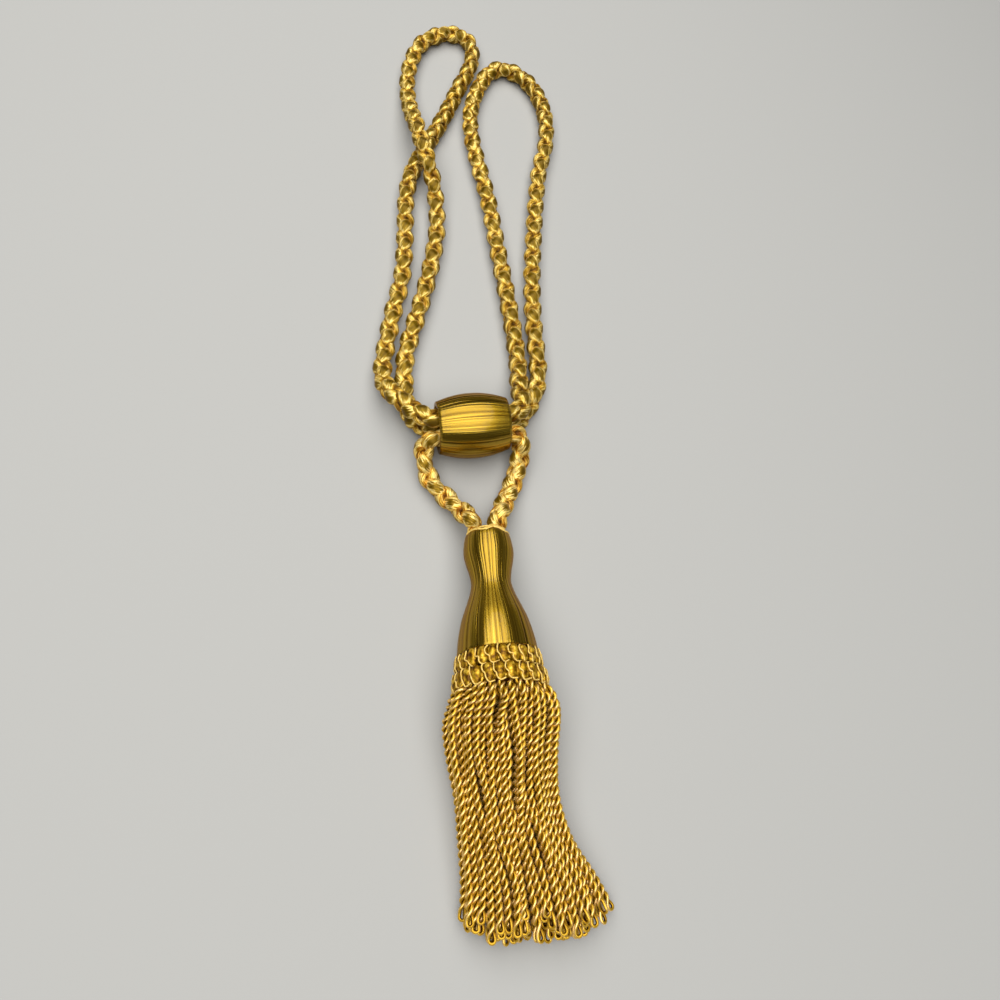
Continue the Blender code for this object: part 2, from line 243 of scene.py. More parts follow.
def smoothRoute(points, step):
    # evenly spaced points on a centripetal Catmull-Rom curve through the route
    route = [Vector(point) for point in points]
    ends = [route[0] * 2 - route[1]] + route + [route[-1] * 2 - route[-2]]
    fine = [route[0]]
    for place in range(1, len(ends) - 2):
        four = ends[place - 1:place + 3]
        knots = [0.0]
        for near, far in zip(four, four[1:]):
            knots.append(knots[-1] + math.sqrt((far - near).length))
        for number in range(1, fineSteps + 1):
            here = knots[1] + (knots[2] - knots[1]) * number / fineSteps
            fine.append(blendFour(four, knots, here))
    reach = [0.0]
    for near, far in zip(fine, fine[1:]):
        reach.append(reach[-1] + (far - near).length)
    count = max(2, round(reach[-1] / step))
    even = []
    place = 0
    for number in range(count + 1):
        wanted = reach[-1] * number / count
        while place < len(fine) - 2 and reach[place + 1] < wanted:
            place += 1
        share = (wanted - reach[place]) / (reach[place + 1] - reach[place])
        even.append(fine[place].lerp(fine[place + 1], share))
    return even


def blendFour(four, knots, here):
    level = list(four)
    for width, first in ((1, 0), (2, 0), (1, 1)):
        merged = []
        for place in range(len(level) - 1):
            low, high = knots[first + place], knots[first + place + width]
            merged.append(level[place].lerp(level[place + 1], (here - low) / (high - low)))
        level = merged
    return level[0]


def carriedAxes(points, firstNormal):
    # direction, normal and side at each point, carried along without twist
    normal = Vector(firstNormal)
    axes = []
    for place in range(len(points)):
        near, far = points[max(0, place - 1)], points[min(len(points) - 1, place + 1)]
        along = (far - near).normalized()
        normal = (normal - along * normal.dot(along)).normalized()
        axes.append((along, normal.copy(), along.cross(normal)))
    return axes


# the slide's place, shared by the ropes and the slide

slide = {
    "centre": (-15.9, 92.4, 14.2),
    "turn": 6.3,             # degrees, from +X towards +Y
    "length": 31.2,
    "radius": 14.5,
    "endRadius": 11.6,
    "bore": 9.75,
    "lip": 0.7,              # step from the rounded edge down to the flat end
    "strandOffset": 5.1,     # of a rope from the middle of the bore
    "mouthGap": 0.6,         # the ropes leave the bore's line this far past its mouth
    "middleGap": 0.15,       # and stop this far from the hidden middle
    "boreStep": 5.0,         # between the last two points of that line
    # degrees round the bore, from +Y up
    "upperHole": 60,
    "lowerHole": 300,
    "linkHole": 180,
    "sides": 220,
    "seed": 4,
    "grooveDepth": 0.3,
    "flossFrom": 10.25,      # radius, so that the bore stays plain
    "outlineStep": 1.3,
    "floorGap": 0.03,
    # share of the length, share of the swell, up to the middle
    "outline": [(0.0, 0.0), (0.04, 0.14), (0.12, 0.42), (0.24, 0.74), (0.38, 0.95), (0.5, 1.0)],
}


def slideAxes():
    turn = math.radians(slide["turn"])
    along = Vector((math.cos(turn), math.sin(turn), 0.0))
    across = Vector((-math.sin(turn), math.cos(turn), 0.0))
    return Vector(slide["centre"]), along, across


def borePoint(angle, distance):
    centre, along, across = slideAxes()
    turn = math.radians(angle)
    offset = across * math.cos(turn) + Vector((0.0, 0.0, 1.0)) * math.sin(turn)
    return centre + along * distance + offset * slide["strandOffset"]


def boreStretch(angle, side):
    mouth = slide["length"] / 2 + slide["mouthGap"]
    stretch = (slide["middleGap"], mouth - slide["boreStep"], mouth)
    return [borePoint(angle, side * reach) for reach in stretch]


# ropes: four plump strands braided round

rope = {
    "radius": 4.6,
    "boreShare": 0.943,      # the slide squeezes the rope to this share of its thickness
    "squeezeLength": 6.0,
    "headShare": 0.72,       # the short ropes thin down to this share where they enter the head
    "taperLength": 7.0,
    "raise": 0.25,           # the lobes stand out past the plain rope, so it lies higher
    "footSpread": 4.77,      # of each short rope from the head's axis, where it goes in
    "footLift": 0.8,
    "footRises": (4.7, 2.5, -1.3),  # its last points, above and inside the head's top
    "ringStep": 0.75,
    "loopPitch": 22.6,       # one turn of a strand round the rope
    "linkPitch": 25.0,
    "pathRadius": 2.0,       # the strands weave in and out about this distance from the axis
    "weave": 1.2,
    "dwell": 0.25,           # how much of their turning the strands do while they are under
    "halfWidth": 3.5,
    "halfThickness": 1.7,
    "bow": 0.7,              # how far the edges of a strand bend down round the rope
    "hollow": 0.3,           # dip along the middle of a strand, between its two yarns
    "hollowWidth": 0.4,      # share of the half width
    "pinch": 0.3,            # how much narrower a strand is where it runs under
    "sides": 16,
    "floorGap": 0.05,
    "paintedRimAcross": 0.95,       # how soon the painted highlight on the rim of a lobe comes, to its side
    "paintedRimAlong": 1.35,        # and to its ends
    "drift": 0.45,           # slow turn of the whole braid, in radians either way
    "driftLength": 61.0,
    # the middle line of each rope, from its upper or only hole in the slide
    "loopLeft": [
    (-36.0, 93.8, 18.1), (-40.0, 96.2, 17.0), (-43.3, 99.4, 15.8), (-46.9, 103.0, 15.0),
    (-50.6, 107.4, 13.4), (-53.8, 112.8, 10.6), (-55.5, 119.4, 7.4), (-55.9, 127.0, 5.3),
    (-55.2, 134.0, 4.4), (-53.8, 144.0, 4.4), (-51.4, 159.0, 4.4), (-47.4, 180.5, 4.4),
    (-46.2, 206.5, 4.4), (-45.8, 232.0, 4.4), (-43.6, 246.8, 4.4), (-37.0, 265.6, 4.4),
    (-29.8, 282.0, 4.4), (-22.8, 299.5, 4.4), (-16.4, 317.5, 4.4), (-10.8, 332.0, 4.4),
    (-8.4, 343.0, 4.4), (-8.8, 352.5, 4.4), (-13.4, 359.2, 4.4), (-22.5, 361.2, 4.4),
    (-31.0, 357.2, 4.4), (-38.4, 349.4, 4.4), (-43.4, 336.0, 4.4), (-45.8, 321.0, 4.4),
    (-45.6, 305.0, 5.2), (-43.8, 289.0, 9.0), (-41.2, 274.5, 13.8), (-38.4, 261.0, 15.0),
    (-35.2, 250.0, 13.4), (-32.0, 240.0, 8.4), (-30.4, 230.0, 5.0), (-29.9, 213.0, 4.4),
    (-32.2, 193.5, 4.4), (-36.8, 170.0, 4.4), (-42.0, 149.0, 4.4), (-45.0, 136.0, 4.4),
    (-46.0, 124.0, 4.4), (-45.6, 114.5, 4.4), (-44.6, 107.0, 4.4), (-42.4, 101.4, 4.4),
    (-39.8, 97.0, 6.2), (-36.4, 94.4, 8.4),
    ],
    "loopRight": [
    (3.8, 97.8, 18.2), (6.0, 101.0, 17.2), (6.8, 105.4, 15.3), (6.9, 110.8, 12.8),
    (7.0, 116.4, 10.0), (7.6, 122.6, 7.2), (8.0, 129.6, 5.4), (7.8, 138.0, 4.4),
    (7.2, 147.0, 4.4), (4.2, 175.5, 4.4), (1.2, 200.0, 4.4), (-3.0, 235.8, 4.4),
    (-7.8, 262.0, 4.4), (-10.4, 280.5, 4.4), (-10.6, 296.0, 4.4), (-8.0, 309.6, 4.4),
    (-4.2, 320.8, 4.4), (1.2, 330.8, 4.4), (8.4, 335.4, 4.4), (18.0, 332.0, 4.4),
    (25.6, 323.4, 4.4), (30.8, 309.5, 4.4), (32.5, 294.5, 4.4), (31.0, 277.0, 4.4),
    (26.4, 258.5, 4.4), (23.4, 238.0, 4.4), (20.8, 214.0, 4.4), (18.2, 186.0, 4.4),
    (17.2, 161.0, 4.4), (17.6, 141.0, 4.4), (17.8, 130.0, 4.4), (16.8, 121.0, 4.4),
    (14.6, 113.6, 4.4), (11.2, 107.2, 4.4), (7.8, 101.4, 5.8), (4.2, 97.9, 8.2),
    ],
    "linkLeft": [
    (-34.8, 85.0, 13.4), (-36.8, 83.0, 10.8), (-36.9, 79.6, 8.0), (-36.2, 75.6, 5.8),
    (-34.7, 71.2, 4.4), (-31.9, 66.6, 4.4), (-27.8, 62.0, 5.0), (-24.0, 57.2, 6.6),
    (-20.6, 52.8, 9.4), (-17.8, 49.4, 11.8),
    ],
    "linkRight": [
    (4.1, 88.7, 13.4), (6.1, 86.8, 10.8), (6.3, 83.2, 8.0), (5.8, 79.0, 5.7),
    (4.5, 74.2, 4.4), (3.0, 69.8, 4.4), (0.8, 64.4, 5.0), (-1.6, 59.0, 6.6),
    (-3.8, 54.0, 9.2), (-5.3, 50.0, 11.6),
    ],
}

head = {
    "top": (-11.0, 41.6, 13.4),
    "base": (-9.1, -10.4, 18.1),
    "sides": 220,
    "seed": 9,
    "grooveDepth": 0.28,
    "flossFrom": 3.0,
    "outlineStep": 1.1,
    # distance down from the top, radius
    "profile": [
    (0.0, 7.4), (0.7, 8.6), (2.4, 9.5), (5.5, 10.1), (9.6, 10.4), (13.4, 9.8), (17.4, 8.8),
    (22.4, 8.2), (26.5, 9.0), (30.2, 10.3), (34.0, 11.8), (37.8, 13.2), (45.2, 15.0),
    (52.2, 16.0),
    ],
}


def tasselAxes():
    down = (Vector(head["base"]) - Vector(head["top"])).normalized()
    sideways = Vector((0.0, 0.0, 1.0)).cross(down).normalized()
    return Vector(head["top"]), down, sideways, sideways.cross(down)


def ropeShare(point):
    top, down, _, _ = tasselAxes()
    if (point - top).length < 2 * rope["taperLength"]:
        free = min(1.0, max(0.0, (top - point).dot(down) / rope["taperLength"]))
        return rope["headShare"] + (1.0 - rope["headShare"]) * free
    centre, along, across = slideAxes()
    reach = abs((point - centre).dot(along)) - slide["length"] / 2
    if abs((point - centre).dot(across)) > slide["bore"]:
        return 1.0
    free = min(1.0, max(0.0, reach / rope["squeezeLength"]))
    return rope["boreShare"] + (1.0 - rope["boreShare"]) * free


def braidStrands(points, pitch, startTurn):
    # rings of points for each of the four strands, and how far each ring is from a crest
    axes = carriedAxes(points, (0.0, 0.0, 1.0))
    step = (points[1] - points[0]).length
    strands = []
    for number in range(4):
        way = 1 if number < 2 else -1
        lines = []
        phases = []
        for place, point in enumerate(points):
            wave = 4 * math.pi * place * step / pitch
            turn = way * (wave / 2 - way * rope["dwell"] * math.sin(wave))
            turn += math.pi * (number % 2)
            slow = place * step / rope["driftLength"] + startTurn
            turn += startTurn + rope["drift"] * math.sin(slow)
            lift = way * math.cos(wave)
            reach = (rope["pathRadius"] + rope["weave"] * lift) * ropeShare(point)
            _, normal, side = axes[place]
            out = normal * math.cos(turn) + side * math.sin(turn)
            lines.append((point + out * reach, out, lift))
            phases.append(abs((wave / math.pi + (way < 0) + 1) % 2 - 1))
        strands.append((strandRings(lines, points), phases))
    return strands


def strandRings(lines, points):
    rings = []
    for place, (centre, out, lift) in enumerate(lines):
        near, far = lines[max(0, place - 1)][0], lines[min(len(lines) - 1, place + 1)][0]
        along = (far - near).normalized()
        outward = (out - along * out.dot(along)).normalized()
        wide = along.cross(outward)
        share = ropeShare(points[place])
        spread = 1.0 - rope["pinch"] * (1.0 - lift) / 2
        ring = []
        for corner in range(rope["sides"]):
            angle = 2 * math.pi * corner / rope["sides"]
            bow = rope["bow"] * math.cos(angle) ** 2
            if angle < math.pi:
                bow += rope["hollow"] * math.exp(-(math.cos(angle) / rope["hollowWidth"]) ** 2)
            spot = wide * (rope["halfWidth"] * spread * math.cos(angle))
            spot += outward * (rope["halfThickness"] * math.sin(angle) - bow)
            spot = centre + spot * share
            spot.z = max(spot.z, rope["floorGap"])      # pressed flat where the rope lies
            ring.append(spot)
        rings.append(ring)
    return rings


def meshOfStrands(name, strands, step):
    # one closed tube per strand, with its own map and the distance from each lobe's middle;
    # the map runs from 0 to 1 round the strand and in millimetres along it
    points = []
    faces = []
    paintedRimLight = []
    across = []
    for rings, phases in strands:
        first = len(points)
        sides = len(rings[0])
        ways = [math.cos(2 * math.pi * corner / sides) for corner in range(sides)]
        for ring, phase in zip(rings, phases):
            points += [spot * mm for spot in ring]
            # distance from the lobe's middle: the rope's colour paints shade in the middle, a
            # highlight on the rim and shade in the creases
            paintedRimLight += [math.hypot(rope["paintedRimAcross"] * way, rope["paintedRimAlong"] * phase) / 2
                     for way in ways]
        for place in range(len(rings) - 1):
            row = first + place * sides
            for corner in range(sides):
                after = (corner + 1) % sides
                faces.append((row + corner, row + after,
                              row + sides + after, row + sides + corner))
                left, right = corner / sides, (corner + 1) / sides
                low, high = place * step, (place + 1) * step
                across += [left, low, right, low, right, high, left, high]
        last = first + (len(rings) - 1) * sides
        faces.append(tuple(range(first, first + sides))[::-1])
        faces.append(tuple(range(last, last + sides)))
        across += [0.5, 0.0] * sides * 2
    mesh = bpy.data.meshes.new(name)
    mesh.from_pydata(points, [], faces)
    layer = mesh.uv_layers.new(name="yarn")
    layer.data.foreach_set("uv", across)
    mesh.attributes.new("rim", "FLOAT", "POINT").data.foreach_set("value", paintedRimLight)
    item = bpy.data.objects.new(name, mesh)
    bpy.context.scene.collection.objects.link(item)
    outwardFaces(item)
    return item


def makeRopeMaterial(name, fibreShare, stops):
    # glossy spun rayon in loose strands: a pale painted highlight on the rim of each lobe,
    # painted shade in olive over the middle of the lobe and painted shade in deep orange-brown
    # in the creases; the short ropes take a brighter copy of these colours, painted as if lit
    # more, and show their fibres more. The fibres are drawn 0.5 mm wide and 4 mm long, coarser
    # than real ones, which wouldn't show; the patches of lighter and darker yarn are about 4 mm
    # across
    material, tree, shader = newMaterial(name)
    # rim places the painted light: shade over the middle of each lobe, a pale highlight on its
    # rim, shade in the creases
    rim = addNode(tree, "ShaderNodeAttribute", {"attribute_name": "rim"})
    yarn = addNode(tree, "ShaderNodeUVMap", {"uv_map": "yarn"})
    stretch = addNode(tree, "ShaderNodeMapping", {"Scale": (34.0, 0.25, 1.0)},
                      {"Vector": yarn.outputs["UV"]})
    fibre = addNode(tree, "ShaderNodeTexNoise", {"Scale": 1.0, "Detail": 3.0, "Roughness": 0.6},
                    {"Vector": stretch.outputs["Vector"]})
    where = addNode(tree, "ShaderNodeTexCoord")
    cloud = addNode(tree, "ShaderNodeTexNoise", {"Scale": 240.0, "Detail": 1.0},
                    {"Vector": where.outputs["Object"]})
    sway = addNode(tree, "ShaderNodeMath", {"operation": "MULTIPLY_ADD", 1: fibreShare,
                                            2: -0.21 - fibreShare / 2},
                   {0: fibre.outputs["Fac"]})
    drift = addNode(tree, "ShaderNodeMath", {"operation": "MULTIPLY_ADD", 1: 0.42},
                    {0: cloud.outputs["Fac"], 2: sway.outputs["Value"]})
    place = addNode(tree, "ShaderNodeMath", {"operation": "ADD", "use_clamp": True},
                    {0: rim.outputs["Fac"], 1: drift.outputs["Value"]})
    color = addRamp(tree, place.outputs["Value"], stops)
    bump = addNode(tree, "ShaderNodeBump", {"Strength": 1.0, "Distance": 0.0004},
                   {"Height": fibre.outputs["Fac"]})
    tree.links.new(color, shader.inputs["Base Color"])
    tree.links.new(bump.outputs["Normal"], shader.inputs["Normal"])
    fibreWay = addNode(tree, "ShaderNodeTangent", {"direction_type": "UV_MAP", "uv_map": "yarn"})
    tree.links.new(fibreWay.outputs["Tangent"], shader.inputs["Tangent"])
    setShader(shader, Roughness=0.34, IOR=1.5, Metallic=0.5, Specular_IOR_Level=0.7,
              Specular_Tint=hexColor("#ffe39c"), Anisotropic=0.8)
    return material


def makeRope(name, node, route, pitch, startTurn, material):
    points = smoothRoute(route, rope["ringStep"])
    step = (points[1] - points[0]).length
    item = meshOfStrands(name, braidStrands(points, pitch, startTurn), step)
    finishPiece(item, material, "braided_rope", node)


def linkSeat(side):
    top, down, sideways, upward = tasselAxes()
    foot = top + sideways * (side * rope["footSpread"]) + upward * rope["footLift"]
    return [foot - down * rise for rise in rope["footRises"]]


def layRoute(name):
    return [Vector(point) + Vector((0.0, 0.0, rope["raise"])) for point in rope[name]]


# the loops: the olive and brown stops are painted shade, the pale stops a painted highlight
loopMaterial = makeRopeMaterial("spunRayonBraid", 0.6, [
    (0.12, "#5c4402"), (0.29, "#86680a"), (0.36, "#f6da86"), (0.41, "#dcb548"),
    (0.48, "#9a700a"), (0.57, "#684203"), (0.75, "#3c2002")])
# the short ropes: the same braid with every stop painted brighter, as painted light, and more
# fibre showing
linkMaterial = makeRopeMaterial("brighterPaintedRayonBraid", 0.9, [
    (0.08, "#644a04"), (0.24, "#8e6c0a"), (0.32, "#fbdf8e"), (0.41, "#efc95e"),
    (0.49, "#b88010"), (0.58, "#844a03"), (0.75, "#4a2402")])
for name, node, side, route, turn in (
        ("ropeLoopLeft", "rope_loop_left", -1, "loopLeft", 0.2),
        ("ropeLoopRight", "rope_loop_right", 1, "loopRight", 1.1)):
    upper = boreStretch(slide["upperHole"], side)
    lower = boreStretch(slide["lowerHole"], side)
    whole = upper + layRoute(route) + lower[::-1]
    makeRope(name, node, whole, rope["loopPitch"], turn, loopMaterial)
for name, node, side, route, turn in (
        ("ropeLinkLeft", "rope_link_left", -1, "linkLeft", 0.5),
        ("ropeLinkRight", "rope_link_right", 1, "linkRight", 0.1)):
    near = boreStretch(slide["linkHole"], side)
    whole = near + layRoute(route) + linkSeat(side)
    makeRope(name, node, whole, rope["linkPitch"], turn, linkMaterial)
print("ropes are braided")


# turned forms covered with floss

floss = {
    "ribbonWidths": (3, 8),  # in columns of the turned form
    "ribbonTilt": 0.4,
    "ribbonLevel": 0.3,
    "gapDepths": (0.45, 1.45),
    "fade": 0.25,            # the grooves grow shallow and deep again by this share
    "fadeTurn": 0.11,        # per millimetre
    "fadeShift": 1.7,        # from one column to the next
    "patternRound": 10.0,    # how fast the pattern changes round the form
    "patternAlong": 0.006,   # and along it, per millimetre, so that it draws out to threads
    "mapAlong": 0.02,
}


def turnForm(name, profile, sides, hollow=False):
    # a circle pulled up along +Z and resized at each step, as on a lathe; the profile of a
    # hollow form comes back to its start
    dropSelection()
    first = profile[0]
    bpy.ops.mesh.primitive_circle_add(vertices=sides, radius=first[1] * mm, fill_type="NOTHING",
                                      enter_editmode=True, location=(0.0, 0.0, first[0] * mm))
    bpy.ops.mesh.select_all(action="SELECT")
    for (low, near), (high, far) in zip(profile, profile[1:]):
        rise = (0, 0, (high - low) * mm)
        bpy.ops.mesh.extrude_region_move(TRANSFORM_OT_translate={"value": rise})
        bpy.ops.transform.resize(value=(far / near, far / near, 1.0),
                                 center_override=(0.0, 0.0, high * mm))
    bpy.ops.mesh.select_all(action="SELECT")
    if hollow:
        bpy.ops.mesh.remove_doubles(threshold=touching)
    else:
        bpy.ops.mesh.fill_holes(sides=0)
    bpy.ops.mesh.normals_make_consistent(inside=False)
    bpy.ops.object.mode_set(mode="OBJECT")
    item = bpy.context.object
    item.name = name
    placeInMesh(item, item.matrix_world.copy())
    return item


def flossRelief(sides, luck):
    # ribbons of floss, uneven in width and tilt, each with a fine gap beside it
    relief = []
    while len(relief) < sides:
        width = luck.randint(*floss["ribbonWidths"])
        tilt = luck.uniform(-floss["ribbonTilt"], floss["ribbonTilt"])
        relief += [floss["ribbonLevel"] + tilt * ((at + 0.5) / width - 0.5) for at in range(width)]
        relief.append(luck.uniform(*floss["gapDepths"]))
    return relief[:sides]


def layFloss(item, form):
    # the relief of the threads, and a way for the material to follow them
    sides = form["sides"]
    relief = flossRelief(sides, random.Random(form["seed"]))
    flow = []
    gaps = []
    for vertex in item.data.vertices:
        spot = vertex.co
        radius = math.hypot(spot.x, spot.y)
        turn = math.atan2(spot.y, spot.x)
        column = round(turn / (2 * math.pi) * sides) % sides
        gaps.append(relief[column])
        if radius > form["flossFrom"] * mm:
            swing = math.sin(spot.z / mm * floss["fadeTurn"] + column * floss["fadeShift"])
            fade = 1.0 - floss["fade"] + floss["fade"] * swing
            groove = relief[column] * fade * form["grooveDepth"] * mm
            vertex.co = (spot.x * (1 - groove / radius), spot.y * (1 - groove / radius), spot.z)
        flow += [math.cos(turn) * floss["patternRound"], math.sin(turn) * floss["patternRound"],
                 spot.z / mm * floss["patternAlong"]]
    way = item.data.attributes.new("flossWay", "FLOAT_VECTOR", "POINT")
    way.data.foreach_set("vector", flow)
    # the depth of each column's groove, from which the material paints shade
    item.data.attributes.new("groove", "FLOAT", "POINT").data.foreach_set("value", gaps)
    spread = []
    for face in item.data.polygons:
        middle = math.atan2(face.center.y, face.center.x)
        for corner in face.vertices:
            spot = item.data.vertices[corner].co
            turn = math.atan2(spot.y, spot.x) - middle
            turn = (turn + math.pi) % (2 * math.pi) - math.pi + middle
            spread += [spot.z / mm * floss["mapAlong"], turn / (2 * math.pi)]
    item.data.uv_layers.new(name="threads").data.foreach_set("uv", spread)


def makeFlossMaterial():
    # rayon satin floss laid side by side over the wood: a narrow bright streak under the
    # light, broken by the grooves between the threads, dark olive-gold to the sides. The
    # threads are drawn about 0.5 mm wide, as coarse as they need to be to show
    material, tree, shader = newMaterial("rayonSatinFloss")
    way = addNode(tree, "ShaderNodeAttribute", {"attribute_name": "flossWay"})
    threads = addNode(tree, "ShaderNodeTexNoise", {"Scale": 2.6, "Detail": 4.0, "Roughness": 0.7},
                      {"Vector": way.outputs["Vector"]})
    groove = addNode(tree, "ShaderNodeAttribute", {"attribute_name": "groove"})
    # painted shade: the colour darkens where the groove between threads is deeper
    shade = addNode(tree, "ShaderNodeMath", {"operation": "MULTIPLY_ADD", 1: -0.3},
                    {0: groove.outputs["Fac"], 2: threads.outputs["Fac"]})
    color = addRamp(tree, shade.outputs["Value"], [
        (0.05, "#3f2a02"), (0.22, "#76580c"), (0.4, "#9a7a1e"), (0.6, "#c2a23a")])
    fine = addNode(tree, "ShaderNodeTexNoise", {"Scale": 5.0, "Detail": 2.0},
                   {"Vector": way.outputs["Vector"]})
    bump = addNode(tree, "ShaderNodeBump", {"Strength": 0.3, "Distance": 0.0001},
                   {"Height": fine.outputs["Fac"]})
    tree.links.new(color, shader.inputs["Base Color"])
    tree.links.new(bump.outputs["Normal"], shader.inputs["Normal"])
    along = addNode(tree, "ShaderNodeTangent", {"direction_type": "UV_MAP", "uv_map": "threads"})
    tree.links.new(along.outputs["Tangent"], shader.inputs["Tangent"])
    setShader(shader, Roughness=0.25, IOR=1.5, Metallic=0.9, Specular_IOR_Level=0.5,
              Specular_Tint=hexColor("#d8b050"), Anisotropic=0.95,
              Coat_Weight=0.25, Coat_Roughness=0.1, Coat_IOR=1.5)
    return material


def makeSlide(material):
    half = slide["length"] / 2
    swell = slide["radius"] - slide["endRadius"]
    outer = [((share * 2 - 1) * half, slide["endRadius"] + swell * rise, 0.0)
             for share, rise in slide["outline"]]
    outer += [(-along, radius, 0.0) for along, radius, _ in outer[-2::-1]]
    rim = slide["endRadius"] - slide["lip"]
    profile = [(-half, slide["bore"]), (-half, rim)]
    profile += [(spot.x, spot.y) for spot in smoothRoute(outer, slide["outlineStep"])]
    profile += [(half, rim), (half, slide["bore"]), (-half, slide["bore"])]
    item = turnForm("slideBarrel", profile, slide["sides"], hollow=True)
    layFloss(item, slide)
    centre, along, across = slideAxes()
    upward = along.cross(across)
    turn = Matrix((across, upward, along)).transposed().to_4x4()
    placeInMesh(item, Matrix.Translation(centre * mm) @ turn)
    for vertex in item.data.vertices:
        # its small flat on the floor
        vertex.co.z = max(vertex.co.z, slide["floorGap"] * mm)
    finishPiece(item, material, "satin_floss", "slide_barrel")


def tasselPlace(distance=0.0):
    top, down, sideways, upward = tasselAxes()
    turn = Matrix((-sideways, upward, down)).transposed()
    return Matrix.Translation((top + down * distance) * mm) @ turn.to_4x4()


def makeHead(material):
    profile = [(along, radius, 0.0) for along, radius in head["profile"]]
    smooth = smoothRoute(profile, head["outlineStep"])
    item = turnForm("tasselHead", [(spot.x, spot.y) for spot in smooth], head["sides"])
    layFloss(item, head)
    placeInMesh(item, tasselPlace())
    finishPiece(item, material, "satin_floss", "tassel_head")


flossMaterial = makeFlossMaterial()
makeSlide(flossMaterial)
makeHead(flossMaterial)
print("slide and head are turned and covered")


# collar: two staggered rows of looped braid

collar = {
    "seed": 5,
    "rowLength": 6.5,
    "loops": 24,
    "upperStart": 52.5,      # down from the head's top
    "upperRadius": 15.6,
    "lowerStart": 59.3,
    "lowerRadius": 17.0,
    "coreRadius": 14.5,      # inner radius of the ring under the loops
    "coreShape": [(-3.0, 0.9), (-1.5, 0.4), (1.5, 0.4), (2.4, 0.9)],  # along, sunk below the row
    "padSize": (2.1, 3.7, 1.7),     # half width, half length, half height
    "padHeights": (0.75, 1.1),      # the least and the greatest share of that height
    "padSegments": 14,
    "padRings": 10,
    "cordRadius": 0.3,
    "cordStep": 0.55,        # also of the binding
    "unevenness": 0.45,
    "unevenStep": 0.1,       # share of the step from loop to loop
    # across, down and out from the middle of a loop: the cord runs down its side, then hooks
    # under it to the next one
    "line": [(-2.0, -3.3, 0.5), (-2.5, -1.9, 0.95), (-2.3, 0.0, 1.15), (-1.4, 0.9, 1.5),
             (-1.1, 2.2, 1.3), (-0.2, 3.5, 0.95), (2.1, 3.3, 0.85)],
}


def thinCord(name, points, radius):
    item = addLine(name, smoothRoute(points, collar["cordStep"]))
    item.data.bevel_depth = radius * mm
    item.data.bevel_resolution = 1
    item.data.use_fill_caps = True
    pick(item)
    bpy.ops.object.convert(target="MESH")
    return bpy.context.object


def collarUnit(luck):
    dropSelection()
    bpy.ops.mesh.primitive_uv_sphere_add(segments=collar["padSegments"],
                                         ring_count=collar["padRings"], radius=mm)
    pad = bpy.context.object
    wide, long, high = collar["padSize"]
    bpy.ops.transform.resize(value=(wide, long, high * luck.uniform(*collar["padHeights"])))
    placeInMesh(pad, pad.matrix_world.copy())
    pad.data.materials.append(gimpPadMaterial)
    reach = collar["unevenness"]
    line = [(x + luck.uniform(-reach, reach), y + luck.uniform(-reach, reach), z)
            for x, y, z in collar["line"]]
    cord = thinCord("loop", line, collar["cordRadius"])
    cord.data.materials.append(gimpCordMaterial)
    return joinAs("collarUnit", [pad, cord])


def makeGimpMaterials():
    # gimp braid, rayon over a soft core: plump olive-gold loops, each edged by a thin
    # hard-twisted cord that catches the light as a pale line. The loops are shaded in
    # patches of about 2 mm and the cord in turns of 0.8 mm
    pad, tree, shader = newMaterial("gimpLoopRayon")
    where = addNode(tree, "ShaderNodeTexCoord")
    cloud = addNode(tree, "ShaderNodeTexNoise", {"Scale": 520.0, "Detail": 2.0},
                    {"Vector": where.outputs["Object"]})
    color = addRamp(tree, cloud.outputs["Fac"], [
        (0.36, "#4e2c02"), (0.46, "#805a08"), (0.56, "#a98214"), (0.68, "#d9b240")])
    tree.links.new(color, shader.inputs["Base Color"])
    setShader(shader, Roughness=0.34, IOR=1.5, Metallic=0.5, Specular_IOR_Level=0.6,
              Specular_Tint=hexColor("#ffe39c"))
    cord, tree, shader = newMaterial("hardTwistedRayonCord")
    where = addNode(tree, "ShaderNodeTexCoord")
    twist = addNode(tree, "ShaderNodeTexNoise", {"Scale": 1300.0, "Detail": 1.0},
                    {"Vector": where.outputs["Object"]})
    color = addRamp(tree, twist.outputs["Fac"], [(0.3, "#c79c42"), (0.6, "#e6c56c")])
    tree.links.new(color, shader.inputs["Base Color"])
    setShader(shader, Roughness=0.4, IOR=1.5, Metallic=0.1, Specular_Tint=hexColor("#fff2c0"))
    return pad, cord


def makeCollarRow(name, node, start, radius, shift, luck):
    ringPlace = tasselPlace(start + collar["rowLength"] / 2)
    inner, shape = collar["coreRadius"], collar["coreShape"]
    profile = [(shape[0][0], inner)] + [(along, radius - sunk) for along, sunk in shape]
    profile += [(shape[-1][0], inner), profile[0]]
    core = turnForm("core", profile, 2 * collar["loops"], hollow=True)
    placeInMesh(core, ringPlace)
    core.data.materials.append(gimpPadMaterial)
    units = [core]
    for number in range(collar["loops"]):
        uneven = luck.uniform(-collar["unevenStep"], collar["unevenStep"])
        turn = 2 * math.pi * (number + shift + uneven) / collar["loops"]
        out = Vector((math.cos(turn), math.sin(turn), 0.0))
        down = Vector((0.0, 0.0, 1.0))
        seat = Matrix((out.cross(down), down, out)).transposed()     # this mirrors the loop
        unit = collarUnit(luck)
        placeInMesh(unit, ringPlace @ Matrix.Translation(out * radius * mm) @ seat.to_4x4())
        units.append(unit)
    row = joinAs(name, units)
    outwardFaces(row)
    finishPiece(row, None, "collar_braid", node)


